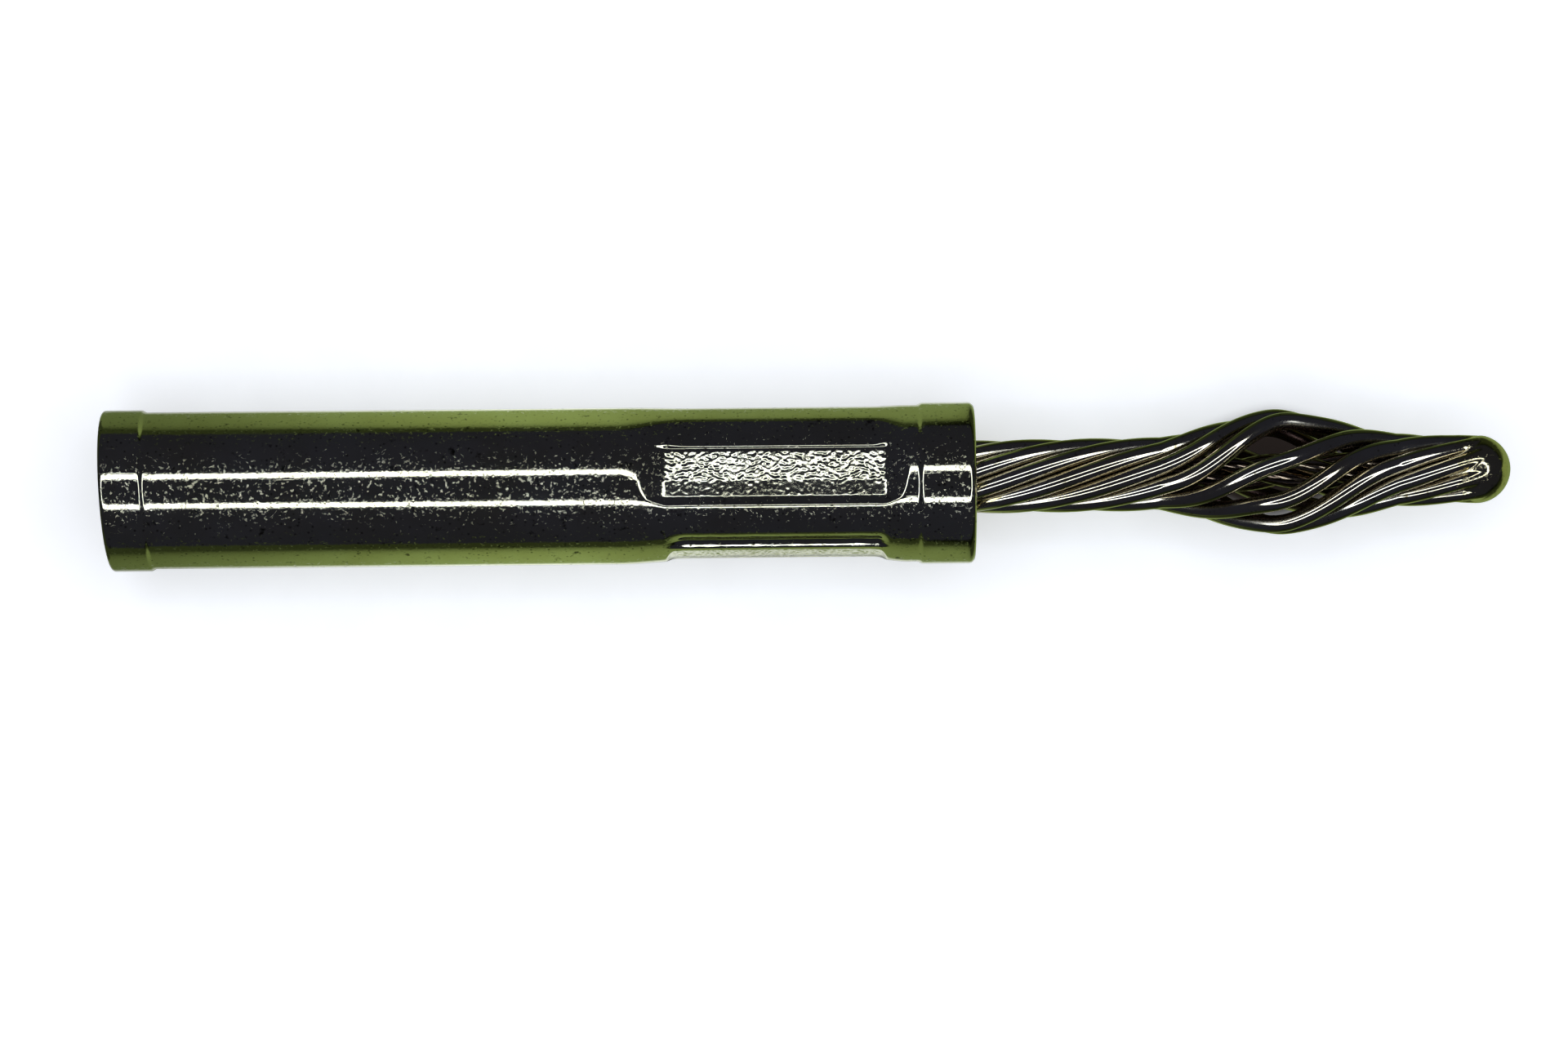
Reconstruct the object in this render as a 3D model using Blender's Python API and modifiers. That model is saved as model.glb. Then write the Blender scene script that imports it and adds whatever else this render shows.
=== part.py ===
"""A twist-pin electrical contact: a crimped sleeve, twisted wires with a sprung bulge, and a fused tip.

Lengths are in metres. +X runs along the contact, from the wire end to the tip, and +Z is up as it lies on
its side. The origin is on the sleeve's axis, in its rear face. Angles round X are in degrees from +Z to +Y.
"""

import math

import bmesh
import bpy
from mathutils import Matrix, Vector

MM = 0.001

# Sleeve, a turned tube with a low collar at each end
SLEEVE_LENGTH = 5.2 * MM
BARREL_OD = 0.94 * MM
COLLAR_OD = 0.966 * MM
REAR_COLLAR_LENGTH = 0.235 * MM
FRONT_COLLAR_LENGTH = 0.31 * MM
COLLAR_SLOPE_LENGTH = 0.012 * MM
REAR_EDGE_ROUND = 0.02 * MM
FRONT_EDGE_ROUND = 0.04 * MM
WIRE_BORE_D = 0.66 * MM
WIRE_BORE_DEPTH = 2.6 * MM
PIN_BORE_D = 0.536 * MM
DRILL_POINT_ANGLE = 118
BORE_MOUTH_CHAMFER = 0.015 * MM

# Crimp, four flat-nosed dents round the sleeve that close the bore on the bundle
CRIMP_COUNT = 4
CRIMP_FIRST_ANGLE = 8
CRIMP_DEEPEST_ANGLE = 278
CRIMP_LENGTH = 1.41 * MM
CRIMP_TO_FRONT = 0.51 * MM
CRIMP_END_ROUND = 0.06 * MM

# Wire bundle, outer strands laid round a core that is twisted the other way
STRAND_COUNT = 9
STRAND_D = 0.106 * MM
LAY_LENGTH = 3.26 * MM
FIRST_STRAND_ANGLE = -29
CORE_COUNT = 3
CORE_WIRE_D = 0.1 * MM
CORE_LAY_LENGTH = 1.28 * MM
BUNDLE_TAIL = 0.12 * MM
PIN_OFFSET = 0.034 * MM
PIN_LEAN = 0.35

# Bulge, where the outer strands bow out from the core
BULGE_OD = 0.765 * MM
BULGE_CENTRE_FROM_FRONT = 1.826 * MM
BULGE_HALF_LENGTH = 0.71 * MM
BULGE_CROWN = 0.1 * MM
BULGE_FLANK_POWER = 1.15
TWIST_SLACK = 12
STRAND_DRIFT = (3, -6, 6, 13, -2, -4, -2, 4, -5)

# Tip, the strand ends fused into a dome
TIP_D = 0.41 * MM
TIP_WELD_LENGTH = 0.295 * MM
PIN_LENGTH = 3.217 * MM

# Clearances
WIRE_GAP = 0.003 * MM
SEAT_GAP = 0.004 * MM
CUT_OVERRUN = 0.05 * MM

# Facets
BARREL_STEPS = 48
BORE_STEPS = 36
TIP_STEPS = 24
ARC_STEPS = 3
DOME_STEPS = 6
STRAIGHT_STEP = 0.1 * MM
BULGE_STEP = 0.058 * MM
CORE_STEP = 0.1 * MM
STRAND_BEVEL_RESOLUTION = 2
CORE_BEVEL_RESOLUTION = 1
WELD_DISTANCE = 0.0001 * MM

# Stations along the contact
CRIMP_FRONT = SLEEVE_LENGTH - CRIMP_TO_FRONT
CRIMP_REAR = CRIMP_FRONT - CRIMP_LENGTH
BUNDLE_REAR = CRIMP_REAR - BUNDLE_TAIL
BULGE_CENTRE = SLEEVE_LENGTH + BULGE_CENTRE_FROM_FRONT
BULGE_REAR = BULGE_CENTRE - BULGE_HALF_LENGTH
BULGE_FRONT = BULGE_CENTRE + BULGE_HALF_LENGTH
TIP_END = SLEEVE_LENGTH + PIN_LENGTH
WELD_FACE = TIP_END - TIP_WELD_LENGTH
STRAND_END = WELD_FACE - SEAT_GAP


def across_lay(diameter, radius, lay_length):
    """A strand's width in the bundle's cross-section, which its slant makes wider than its diameter."""
    return diameter * math.hypot(1, math.tau * radius / lay_length)


def ring_radius(count, diameter, lay_length):
    """The centre radius at which a ring of strands lies side by side, each the wire gap from the next."""
    radius = 0
    for _ in range(12):
        width = across_lay(diameter, radius, lay_length) + WIRE_GAP
        radius = width / (2 * math.sin(math.pi / count))
    return radius


CORE_RADIUS = ring_radius(CORE_COUNT, CORE_WIRE_D, CORE_LAY_LENGTH)
OVER_CORE_RADIUS = CORE_RADIUS + CORE_WIRE_D / 2 + WIRE_GAP + STRAND_D / 2
LAY_RADIUS = max(ring_radius(STRAND_COUNT, STRAND_D, LAY_LENGTH), OVER_CORE_RADIUS)
BUNDLE_OD = 2 * LAY_RADIUS + STRAND_D
BULGE_LAY_RADIUS = BULGE_OD / 2 - STRAND_D / 2
OFFSET_ANGLE = CRIMP_DEEPEST_ANGLE - 180


def toward(angle):
    """The unit direction at an angle round the X axis."""
    return Vector((0, math.sin(math.radians(angle)), math.cos(math.radians(angle))))


def smoothstep(value, low, high):
    share = min(max((value - low) / (high - low), 0), 1)
    return share * share * (3 - 2 * share)


def pin_axis(x):
    """The bundle's axis, pushed off the sleeve's by the deepest dent and leaning on from the front face."""
    lean = max(x - SLEEVE_LENGTH, 0) * math.tan(math.radians(PIN_LEAN))
    return Vector((x, 0, 0)) + toward(OFFSET_ANGLE) * (PIN_OFFSET + lean)


def bulge_share(x):
    """How far the strands stand out at x: 1 at the crown, 0 past the ends, a tent with a round top."""
    reach = math.hypot(min(abs(x - BULGE_CENTRE), BULGE_HALF_LENGTH), BULGE_CROWN) - BULGE_CROWN
    full_reach = math.hypot(BULGE_HALF_LENGTH, BULGE_CROWN) - BULGE_CROWN
    return (1 - reach / full_reach) ** BULGE_FLANK_POWER


def drawn_in(x):
    """The bundle's thickness at x as a share of its own: the strands are drawn together towards the weld."""
    return 1 - (1 - TIP_D / BUNDLE_OD) * smoothstep(x, BULGE_FRONT, WELD_FACE)


def twist(x):
    """The lay's angle at x. It eases over the bulge's crown, where the strands run more nearly straight."""
    from_crown = math.pi * min(max((x - BULGE_CENTRE) / BULGE_HALF_LENGTH, -1), 1)
    slack = TWIST_SLACK * math.sin(from_crown) * (1 + math.cos(from_crown)) / 2
    return 360 * (x - SLEEVE_LENGTH) / LAY_LENGTH - slack


def strand_centre(index, x):
    share = bulge_share(x)
    radius = (LAY_RADIUS + (BULGE_LAY_RADIUS - LAY_RADIUS) * share) * drawn_in(x)
    drift = STRAND_DRIFT[index % len(STRAND_DRIFT)] * share**2
    angle = FIRST_STRAND_ANGLE - 360 * index / STRAND_COUNT + twist(x) + drift
    return pin_axis(x) + toward(angle) * radius


def core_centre(index, x):
    angle = 360 * index / CORE_COUNT - 360 * (x - SLEEVE_LENGTH) / CORE_LAY_LENGTH
    return pin_axis(x) + toward(angle) * CORE_RADIUS * drawn_in(x)


def stations(*stretches):
    """Points along X through (start, end, largest step) stretches that follow each other."""
    found = []
    for start, end, step in stretches:
        count = math.ceil((end - start) / step)
        found += [start + (end - start) * i / count for i in range(count)]
    return found + [stretches[-1][1]]


def plated_metal(name, colour, roughness):
    material = bpy.data.materials.new(name)
    material.use_nodes = True
    shader = material.node_tree.nodes["Principled BSDF"]
    shader.inputs["Base Color"].default_value = (*colour, 1)
    shader.inputs["Roughness"].default_value = roughness
    shader.inputs["Metallic"].default_value = 1
    return material


def new_collection(name):
    collection = bpy.data.collections.new(name)
    bpy.context.scene.collection.children.link(collection)
    return collection


def add_object(name, data, collection, material=None):
    made = bpy.data.objects.new(name, data)
    collection.objects.link(made)
    if material:
        data.materials.append(material)
    return made


def arc(centre, radius, start, end, steps):
    """(along, out) points of an arc, with angles measured from the axis' direction outwards."""
    turns = [math.radians(start + (end - start) * i / steps) for i in range(steps + 1)]
    return [(centre[0] + radius * math.cos(t), centre[1] + radius * math.sin(t)) for t in turns]


def turned(name, profile, steps, collection, material=None):
    """A solid turned about the X axis from (along, out) points that run from its front end to its rear."""
    mesh = bpy.data.meshes.new(name)
    points = [(out, 0, along) for along, out in profile]
    mesh.from_pydata(points, [(i, i + 1) for i in range(len(points) - 1)], [])
    made = add_object(name, mesh, collection, material)
    made.rotation_euler = (0, math.radians(90), 0)
    screw = made.modifiers.new("turn", "SCREW")
    screw.axis = "Z"
    screw.steps = screw.render_steps = steps
    screw.use_merge_vertices = True
    screw.merge_threshold = WELD_DISTANCE
    screw.use_smooth_shade = True
    return made


def cut(target, cutter):
    cutter.hide_render = True
    cutter.display_type = "WIRE"
    boolean = target.modifiers.new("cut_" + cutter.name, "BOOLEAN")
    boolean.operation = "DIFFERENCE"
    boolean.solver = "EXACT"
    boolean.object = cutter


def dent_bar(name, angle, nose, collection):
    """A flat-nosed bar across the contact, as wide as the collars, whose nose is that far from the axis."""
    bm = bmesh.new()
    bmesh.ops.create_cube(bm, size=1)
    height = COLLAR_OD
    middle = nose + height / 2
    place = Matrix.Translation((CRIMP_REAR + CRIMP_LENGTH / 2, 0, middle))
    size = Matrix.Diagonal((CRIMP_LENGTH, COLLAR_OD, height, 1))
    bmesh.ops.transform(bm, matrix=place @ size, verts=bm.verts)
    ends = [e for e in bm.edges if all(v.co.z < middle for v in e.verts)]
    across = [e for e in ends if abs(e.verts[0].co.x - e.verts[1].co.x) < WELD_DISTANCE]
    bmesh.ops.bevel(bm, geom=across, offset=CRIMP_END_ROUND, segments=ARC_STEPS, profile=0.5, affect="EDGES")
    mesh = bpy.data.meshes.new(name)
    bm.to_mesh(mesh)
    bm.free()
    bar = add_object(name, mesh, collection)
    bar.rotation_euler = (math.radians(-angle), 0, 0)
    return bar


def crimp_sleeve(collection, cutters, material):
    collar, barrel = COLLAR_OD / 2, BARREL_OD / 2
    front = (SLEEVE_LENGTH - FRONT_EDGE_ROUND, collar - FRONT_EDGE_ROUND)
    rear = (REAR_EDGE_ROUND, collar - REAR_EDGE_ROUND)
    front_step = SLEEVE_LENGTH - FRONT_COLLAR_LENGTH
    outside = [(SLEEVE_LENGTH, 0)]
    outside += arc(front, FRONT_EDGE_ROUND, 0, 90, ARC_STEPS)
    outside += [(front_step, collar), (front_step - COLLAR_SLOPE_LENGTH, barrel)]
    outside += [(REAR_COLLAR_LENGTH + COLLAR_SLOPE_LENGTH, barrel), (REAR_COLLAR_LENGTH, collar)]
    outside += arc(rear, REAR_EDGE_ROUND, 90, 180, ARC_STEPS)
    outside += [(0, 0)]
    sleeve = turned("crimp_sleeve", outside, BARREL_STEPS, collection, material)

    wire_bore, pin_bore = WIRE_BORE_D / 2, PIN_BORE_D / 2
    flare = BORE_MOUTH_CHAMFER + CUT_OVERRUN
    drill_point = (wire_bore - pin_bore) / math.tan(math.radians(DRILL_POINT_ANGLE / 2))
    inside = [(SLEEVE_LENGTH + CUT_OVERRUN, 0), (SLEEVE_LENGTH + CUT_OVERRUN, pin_bore + flare)]
    inside += [(SLEEVE_LENGTH - BORE_MOUTH_CHAMFER, pin_bore), (WIRE_BORE_DEPTH + drill_point, pin_bore)]
    inside += [(WIRE_BORE_DEPTH, wire_bore), (BORE_MOUTH_CHAMFER, wire_bore)]
    inside += [(-CUT_OVERRUN, wire_bore + flare), (-CUT_OVERRUN, 0)]
    bore = turned("bore", inside, BORE_STEPS, cutters)

    for i in range(CRIMP_COUNT):
        angle = CRIMP_FIRST_ANGLE + 360 * i / CRIMP_COUNT
        bundle_reach = BUNDLE_OD / 2 + PIN_OFFSET * math.cos(math.radians(angle - OFFSET_ANGLE))
        land = bundle_reach + SEAT_GAP
        depth = pin_bore - land
        cut(sleeve, dent_bar(f"dent_bar_{i + 1}", angle, barrel - depth, cutters))
        cut(bore, dent_bar(f"land_bar_{i + 1}", angle, land, cutters))
    cut(sleeve, bore)
    return sleeve


def wire(name, centres, shares, diameter, bevel_resolution, collection, material):
    """A round wire along the centres, whose thickness at each is its share of the diameter."""
    curve = bpy.data.curves.new(name, "CURVE")
    curve.dimensions = "3D"
    curve.bevel_depth = diameter / 2
    curve.bevel_resolution = bevel_resolution
    curve.use_fill_caps = True
    spline = curve.splines.new("POLY")
    spline.points.add(len(centres) - 1)
    spline.use_smooth = True
    for point, centre, share in zip(spline.points, centres, shares):
        point.co = (*centre, 1)
        point.radius = share
    return add_object(name, curve, collection, material)


def square_ended(centre_at, along):
    """The centres at these stations, then one more along the pin, so that the end meets the weld square."""
    centres = [centre_at(x) for x in along]
    return centres + [centres[-1] + pin_axis(STRAND_END) - pin_axis(along[-1])]


def wire_bundle(collection, strand_material, core_material):
    """Makes the outer strands and the core, and gives each wire's centres and its radius at each."""
    square_start = STRAND_END - STRAND_D / 2
    strand_along = stations(
        (BUNDLE_REAR, BULGE_REAR, STRAIGHT_STEP),
        (BULGE_REAR, BULGE_FRONT, BULGE_STEP),
        (BULGE_FRONT, square_start, STRAIGHT_STEP),
    )
    core_along = stations((BUNDLE_REAR, square_start, CORE_STEP))
    strands = (STRAND_D, STRAND_BEVEL_RESOLUTION, strand_material)
    core = (CORE_WIRE_D, CORE_BEVEL_RESOLUTION, core_material)
    layers = (
        ("outer_strand", STRAND_COUNT, strand_centre, strand_along, strands),
        ("core_strand", CORE_COUNT, core_centre, core_along, core),
    )
    runs = {}
    for layer, count, centre_of, along, (diameter, resolution, material) in layers:
        shares = [drawn_in(x) for x in along] + [drawn_in(along[-1])]
        for i in range(count):
            name = f"{layer}_{i + 1}"
            centres = square_ended(lambda x: centre_of(i, x), along)
            wire(name, centres, shares, diameter, resolution, collection, material)
            runs[name] = (centres, [diameter / 2 * share for share in shares])
    return runs


def tip_weld(collection, material):
    """The fused dome, with its origin on the pin's axis at the face that meets the strands."""
    radius = TIP_D / 2
    profile = arc((TIP_WELD_LENGTH - radius, 0), radius, 0, 90, DOME_STEPS)
    profile[0] = (TIP_WELD_LENGTH, 0)
    profile += [(0, radius), (0, 0)]
    dome = turned("tip_weld", profile, TIP_STEPS, collection, material)
    dome.location = pin_axis(WELD_FACE)
    return dome


def gap_between(first, second):
    """The least gap between two wires, from the centres of one to the stretches of the other."""
    least = math.inf
    centres, radii = second
    for point, radius in zip(*first):
        for a, b, other_radius in zip(centres, centres[1:], radii):
            share = (point - a).dot(b - a) / (b - a).length_squared
            nearest = a + (b - a) * min(max(share, 0), 1)
            least = min(least, (point - nearest).length - radius - other_radius)
    return least


def print_least_gap(runs):
    names = list(runs)
    pairs = [(a, b) for i, a in enumerate(names) for b in names[i + 1 :]]
    least, first, second = min((gap_between(runs[a], runs[b]), a, b) for a, b in pairs)
    print(f"least gap between wires: {least / MM:.4f} mm, {first} to {second}")


def main():
    for old in list(bpy.data.objects):
        bpy.data.objects.remove(old)
    contact = new_collection("twist_pin_contact")
    cutters = new_collection("cutters")
    sleeve_gold = plated_metal("sleeve_gold_plate", (0.78, 0.70, 0.33), 0.16)
    strand_gold = plated_metal("strand_gold_plate", (0.80, 0.71, 0.34), 0.12)
    core_gold = plated_metal("core_gold_plate", (0.62, 0.46, 0.22), 0.25)
    weld_gold = plated_metal("weld_gold_plate", (0.74, 0.68, 0.32), 0.14)
    crimp_sleeve(contact, cutters, sleeve_gold)
    runs = wire_bundle(contact, strand_gold, core_gold)
    tip_weld(contact, weld_gold)
    print_least_gap(runs)
    print(f"bundle {BUNDLE_OD / MM:.3f} mm across, tip end at {TIP_END / MM:.3f} mm")


main()
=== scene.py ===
# %% [markdown]
# # A twist-pin contact under the microscope
# The object is the male contact of a micro-miniature connector. A turned, gold-plated sleeve is crimped on a
# bundle of fine wires. The outer wires are spring wire, laid round a soft core, and they bow out into a bulge
# that a socket squeezes. Their ends are fused into a dome. The measured frame comes first, because every size
# below has to agree with it. Lengths are in millimetres, and MM turns them into the scene's metres.

# %% Load the measured frame
import math

import bmesh
import bpy
import numpy as np
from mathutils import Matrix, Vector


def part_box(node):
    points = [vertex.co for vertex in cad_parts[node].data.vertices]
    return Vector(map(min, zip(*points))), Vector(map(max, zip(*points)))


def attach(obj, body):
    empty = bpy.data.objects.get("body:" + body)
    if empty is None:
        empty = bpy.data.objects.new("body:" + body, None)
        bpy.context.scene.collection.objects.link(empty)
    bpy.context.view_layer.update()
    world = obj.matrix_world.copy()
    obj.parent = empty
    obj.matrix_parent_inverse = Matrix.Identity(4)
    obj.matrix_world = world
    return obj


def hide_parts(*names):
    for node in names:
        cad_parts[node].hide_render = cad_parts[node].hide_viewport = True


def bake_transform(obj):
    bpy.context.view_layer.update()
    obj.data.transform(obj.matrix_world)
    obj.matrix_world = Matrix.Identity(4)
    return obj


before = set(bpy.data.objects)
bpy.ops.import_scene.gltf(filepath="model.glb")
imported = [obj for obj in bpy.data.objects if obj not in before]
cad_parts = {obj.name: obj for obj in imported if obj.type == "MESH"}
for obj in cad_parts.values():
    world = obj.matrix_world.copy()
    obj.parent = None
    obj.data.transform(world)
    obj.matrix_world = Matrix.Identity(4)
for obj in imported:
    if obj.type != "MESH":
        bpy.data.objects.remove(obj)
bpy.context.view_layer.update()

MM = 0.001
sleeve_low, sleeve_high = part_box("crimp_sleeve")
tip_low, tip_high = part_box("tip_weld")
SLEEVE_LENGTH = sleeve_high.x / MM
TIP_END = tip_high.x / MM
WELD_FACE = tip_low.x / MM
print(f"sleeve {SLEEVE_LENGTH:.3f} mm, weld face at {WELD_FACE:.3f} mm, tip at {TIP_END:.3f} mm")

# %% [markdown]
# ## Where the camera stands
# The photograph looks straight down through a microscope, so the contact lies flat in the picture and leans
# about half a degree. A long lens from 33 mm gives the slight bow of the sleeve's rear rim. The camera is set
# first, so that every later step can be judged against the photograph.

# %% Camera
PIXEL = 0.0049
FOCAL_PIXELS = 6800
PICTURE_WIDTH = 1920
SENSOR_WIDTH = 36
VIEW_CENTRE = (4.056, -0.228)
VIEW_ROLL = 0.57
CLIP = (1, 1000)


def put(name, data):
    """A new object in the scene."""
    made = bpy.data.objects.new(name, data)
    bpy.context.scene.collection.objects.link(made)
    return made


camera_data = bpy.data.cameras.new("microscope")
camera_data.sensor_width = SENSOR_WIDTH
camera_data.lens = FOCAL_PIXELS * SENSOR_WIDTH / PICTURE_WIDTH
camera_data.clip_start, camera_data.clip_end = (limit * MM for limit in CLIP)
camera = put("microscope", camera_data)
camera_height = FOCAL_PIXELS * PIXEL
camera.location = (VIEW_CENTRE[0] * MM, VIEW_CENTRE[1] * MM, camera_height * MM)
camera.rotation_euler = (0, 0, -math.radians(VIEW_ROLL))
bpy.context.scene.camera = camera
bpy.context.scene.view_settings.view_transform = "Standard"
print(f"camera {camera_height:.1f} mm above the axis, lens {camera_data.lens:.1f} mm")

# %% [markdown]
# ## Short words for shader nodes
# Every material below is a small network of nodes. These helpers make a node and set its values in one line,
# fade between two numbers, do sums and mix colours, so that the materials read as what they look like.


# %% Helpers for shader nodes
def node(tree, kind, **values):
    """A new node; each value goes to the node's setting or, with spaces for underscores, to its input."""
    made = tree.nodes.new(kind)
    for key, value in values.items():
        if hasattr(made, key):
            setattr(made, key, value)
        else:
            made.inputs[key.replace("_", " ")].default_value = value
    return made


def link(tree, source, target):
    tree.links.new(source, target)


def bare_tree(owner):
    """The emptied node tree of a material or a world."""
    owner.use_nodes = True
    owner.node_tree.nodes.clear()
    return owner.node_tree


def millimetres(tree):
    """The place on the object, in millimetres."""
    place = node(tree, "ShaderNodeTexCoord")
    scaled = node(tree, "ShaderNodeVectorMath", operation="SCALE", Scale=1 / MM)
    link(tree, place.outputs["Object"], scaled.inputs[0])
    return scaled.outputs["Vector"]


def fade(tree, value, start, end, first, last):
    """A smooth change from first to last while the value goes from start to end."""
    made = node(tree, "ShaderNodeMapRange", interpolation_type="SMOOTHSTEP")
    for name, setting in zip(("From Min", "From Max", "To Min", "To Max"), (start, end, first, last)):
        made.inputs[name].default_value = setting
    link(tree, value, made.inputs["Value"])
    return made.outputs["Result"]


def math_of(tree, operation, first, second=None):
    made = node(tree, "ShaderNodeMath", operation=operation)
    for socket, value in zip(made.inputs, (first, second)):
        if isinstance(value, (int, float)):
            socket.default_value = value
        elif value is not None:
            link(tree, value, socket)
    return made.outputs["Value"]


def product(tree, first, *others):
    for other in others:
        first = math_of(tree, "MULTIPLY", first, other)
    return first


def mix_of(tree, share, first, second):
    """A colour between two, each a plain colour or a socket."""
    made = node(tree, "ShaderNodeMix", data_type="RGBA")
    link(tree, share, made.inputs[0])
    for socket, value in ((made.inputs[6], first), (made.inputs[7], second)):
        if isinstance(value, tuple):
            socket.default_value = (*value, 1)
        else:
            link(tree, value, socket)
    return made.outputs[2]


print("node helpers ready")

# %% [markdown]
# ## The white plate
# A mirror-bright part shows only what stands round it, and below it that is the plate. To the camera the plate
# is white paper, with a painted soft dark shade under the open bulge, where the ring light hardly gets in. What
# the metal sees of it is a painted glow, greener and dimmer: a painted lit spot that fades a few millimetres
# out and makes the olive edges, a painted white strip close to the barrel that lights the lower dent, and a
# painted strip by the pin that fades within a millimetre, with painted shade right under the barrel and the
# bulge.

# %% Plate sizes
FLOOR_SIZE = 600
FLOOR_DROP = 0.003
FIBRE_SCALE = 3
PAPER_TONES = ((0.87, 0.875, 0.87), (0.93, 0.935, 0.93))
PAPER_ROUGHNESS = 0.9
PLATE_GLOW = 0.46
# PLATE_SHADE is painted shade on the plate under the bulge; its centre, reach and soft edge follow.
PLATE_SHADE = (0.026, 0.02, 0.018)
UNDER_BULGE = (7.03, 0.07)
UNDER_BULGE_REACH = (0.87, 0.425)
SHADE_POWER = 1.4
SHADE_FADE = (0.38, 1)
# What the metal sees: colours and reaches of the painted lit spot, strips and shade in the plate's glow.
PLATE_FAR = (0.25, 0.345, 0.135)
PLATE_NEAR = (1.1, 1.2, 1.16)
LIT_SPOT = (0.9, 8)
LIT_LEAST = 0.1
LIT_SHORTER = 1.35
REAR_DIM = (-0.2, 2.6)
REAR_LIGHT = (0.4, 1)
REAR_END = (-0.7, -0.35)
FRONT_DIM = (2.6, 3.8)
FRONT_LIGHT = (1, 0.68)
NEAR_SPOT = (0.58, 0.8)
BESIDE_BARREL = (0.47, 0.6)
BARREL_PLATE = (0.03, 1)
BESIDE_PIN = (0.5, 1.1)
PIN_PLATE = (1.3, 0.14)
PIN_SIDE = (SLEEVE_LENGTH - 0.1, SLEEVE_LENGTH + 0.3)

floor_z = sleeve_low.z / MM - FLOOR_DROP
half = FLOOR_SIZE / 2 * MM
floor_corners = [(-half, -half, 0), (half, -half, 0), (half, half, 0), (-half, half, 0)]
floor_mesh = bpy.data.meshes.new("plate")
floor_mesh.from_pydata(floor_corners, [], [(0, 1, 2, 3)])
floor = put("plate", floor_mesh)
floor.location = (0, 0, floor_z * MM)
print(f"plate at {floor_z:.3f} mm")

# %% Plate as the camera sees it
plate = bpy.data.materials.new("white_plate")
tree = bare_tree(plate)
plate_place = millimetres(tree)
across = node(tree, "ShaderNodeSeparateXYZ")
fibre = node(tree, "ShaderNodeTexNoise", Scale=FIBRE_SCALE, Detail=3)
link(tree, plate_place, across.inputs["Vector"])
link(tree, plate_place, fibre.inputs["Vector"])
plate_x, plate_y = across.outputs["X"], across.outputs["Y"]

# Painted shade: the plate's colour darkens to PLATE_SHADE under the bulge, standing in for its shadow.
off_bulge = []
for place, centre, reach in zip((plate_x, plate_y), UNDER_BULGE, UNDER_BULGE_REACH):
    off = math_of(tree, "DIVIDE", math_of(tree, "SUBTRACT", place, centre), reach)
    off_bulge.append(math_of(tree, "POWER", math_of(tree, "ABSOLUTE", off), SHADE_POWER))
clear_of_painted_shade = fade(tree, math_of(tree, "ADD", *off_bulge), *SHADE_FADE, 0, 1)
tone = mix_of(tree, fibre.outputs["Fac"], *PAPER_TONES)
tone = mix_of(tree, clear_of_painted_shade, PLATE_SHADE, tone)
paper = node(tree, "ShaderNodeBsdfPrincipled", Roughness=PAPER_ROUGHNESS, Specular_IOR_Level=0)
paper.inputs["Emission Strength"].default_value = PLATE_GLOW
link(tree, tone, paper.inputs["Base Color"])
link(tree, tone, paper.inputs["Emission Color"])
print("paper with a shade under the bulge")

# %% Plate as the metal sees it
# Painted light and shade for reflections only: a painted lit spot, darker towards the rear and the front, a
# painted white strip near the barrel, painted shade right under the barrel and the bulge, and a strip by the
# pin.
away = math_of(tree, "ABSOLUTE", plate_y)
lit_away = math_of(tree, "MAXIMUM", plate_y, math_of(tree, "MULTIPLY", plate_y, -LIT_SHORTER))
painted_light = product(
    tree,
    fade(tree, lit_away, *LIT_SPOT, 1, 0),
    fade(tree, plate_x, *REAR_DIM, *REAR_LIGHT),
    fade(tree, plate_x, *REAR_END, 0, 1),
    fade(tree, plate_x, *FRONT_DIM, *FRONT_LIGHT),
)
painted_light = math_of(tree, "MAXIMUM", painted_light, LIT_LEAST)
pin_side = fade(tree, plate_x, *PIN_SIDE, 0, 1)
barrel_side = math_of(tree, "SUBTRACT", 1, pin_side)
near = math_of(tree, "SUBTRACT", fade(tree, away, *NEAR_SPOT, 1, 0), pin_side)
near = math_of(tree, "MAXIMUM", near, 0)
beside_barrel = product(tree, fade(tree, away, *BESIDE_BARREL, *BARREL_PLATE), barrel_side)
beside_pin = product(tree, fade(tree, away, *BESIDE_PIN, *PIN_PLATE), pin_side, clear_of_painted_shade)
clear = math_of(tree, "ADD", beside_barrel, beside_pin)

# This glow is a painted reflection that only the metal sees; the camera sees the paper.
painted_reflection = node(tree, "ShaderNodeEmission")
mixer = node(tree, "ShaderNodeMixShader")
rays = node(tree, "ShaderNodeLightPath")
output = node(tree, "ShaderNodeOutputMaterial")
link(tree, mix_of(tree, near, PLATE_FAR, PLATE_NEAR), painted_reflection.inputs["Color"])
link(tree, product(tree, painted_light, clear), painted_reflection.inputs["Strength"])
link(tree, rays.outputs["Is Camera Ray"], mixer.inputs["Fac"])
link(tree, painted_reflection.outputs["Emission"], mixer.inputs[1])
link(tree, paper.outputs["BSDF"], mixer.inputs[2])
link(tree, mixer.outputs["Shader"], output.inputs["Surface"])
floor_mesh.materials.append(plate)
print("plate material:", len(tree.nodes), "nodes")

# %% [markdown]
# ## The dark room and the ring light
# The other two things in the metal's mirror are a dark room, which makes the black bands, and a ring light
# round the lens. A round bar shows such a ring as two white lines along it, one for each side of the ring, so
# the ring's angles set where the lines run. The ring is wider along the contact, so that its ends stay out of
# sight. A broad fill keeps the shadow on the plate soft; the metal doesn't show it.

# %% Dark room
ROOM_SEEN = (0.015, 0.0165, 0.028)
ROOM_PALE = (0.93, 0.935, 0.93)

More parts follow.
